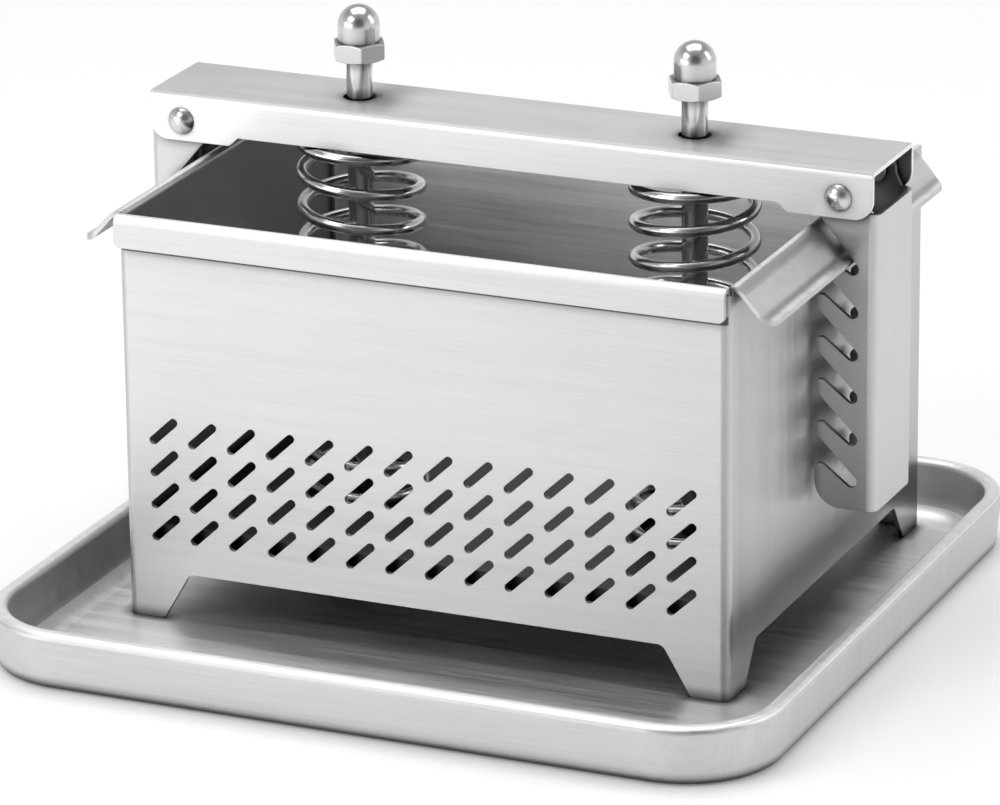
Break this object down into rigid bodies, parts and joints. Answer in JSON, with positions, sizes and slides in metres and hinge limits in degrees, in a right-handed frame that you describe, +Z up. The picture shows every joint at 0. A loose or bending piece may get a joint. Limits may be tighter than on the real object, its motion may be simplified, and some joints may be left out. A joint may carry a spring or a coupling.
{
  "type": "tofu press",
  "caption": "Spring-loaded sheet steel press: a plate in a slotted box, pushed down by coil springs under a beam that notched racks hold to the box's lips, over a drip tray",
  "frame": {"origin": "middle of the drip tray's footprint, on the table", "axes": "+X to the right along the beam, +Y to the back, +Z up"},
  "size_m": [0.203, 0.1964, 0.142],
  "materials": {
    "tray_steel": "satin, brushed along its length",
    "box_steel": "fine brushed grain",
    "plate_steel": "satin",
    "rod_steel": "turned and polished",
    "screw_steel": "plain machined",
    "spring_steel": "drawn wire, bright",
    "nut_steel": "mirror polished",
    "beam_steel": "fine grain along its length",
    "rack_steel": "fine grain",
    "rivet_steel": "polished"
  },
  "bodies": {
    "tray": {"drip_tray": "tray_steel"},
    "box": {"box_shell": "box_steel", "back_panel": "box_steel", "floor_plate": "box_steel"},
    "beam": {"beam": "beam_steel", "rivet_left_front": "rivet_steel", "rivet_left_back": "rivet_steel", "rivet_right_front": "rivet_steel", "rivet_right_back": "rivet_steel", "spring_left": "spring_steel", "spring_right": "spring_steel"},
    "rack_left": {"rack_left": "rack_steel"},
    "rack_right": {"rack_right": "rack_steel"},
    "plate": {"press_plate": "plate_steel", "rod_left": "rod_steel", "rod_right": "rod_steel", "plate_screw_left": "screw_steel", "plate_screw_right": "screw_steel", "cap_nut_left": "nut_steel", "cap_nut_right": "nut_steel"}
  },
  "joints": [
    {"name": "box_lift", "type": "slide", "parent": "tray", "child": "box", "axis": [0, 0, 1], "range_m": [0, 0.06]},
    {"name": "beam_press", "type": "slide", "parent": "box", "child": "beam", "axis": [0, 0, -1], "range_m": [0, 0.0025], "stiffness_N_per_m": 5800, "springref_m": -0.009},
    {"name": "rack_left_swing", "type": "hinge", "parent": "beam", "child": "rack_left", "pos_m": [-0.0886, 0.0188, 0.11155], "axis": [0, 1, 0], "range_deg": [0, 28]},
    {"name": "rack_right_swing", "type": "hinge", "parent": "beam", "child": "rack_right", "pos_m": [0.0842, 0.0188, 0.11155], "axis": [0, -1, 0], "range_deg": [0, 28]},
    {"name": "plate_slide", "type": "slide", "parent": "box", "child": "plate", "axis": [0, 0, 1], "range_m": [0, 0.055], "stiffness_N_per_m": 5800, "springref_m": -0.009, "deforming": ["spring_left", "spring_right"]}
  ],
  "couplings": [
    {"joint": "rack_left_swing", "follows": "beam_press", "rad_per_m": 195.48},
    {"joint": "rack_right_swing", "follows": "beam_press", "rad_per_m": 195.48}
  ]
}
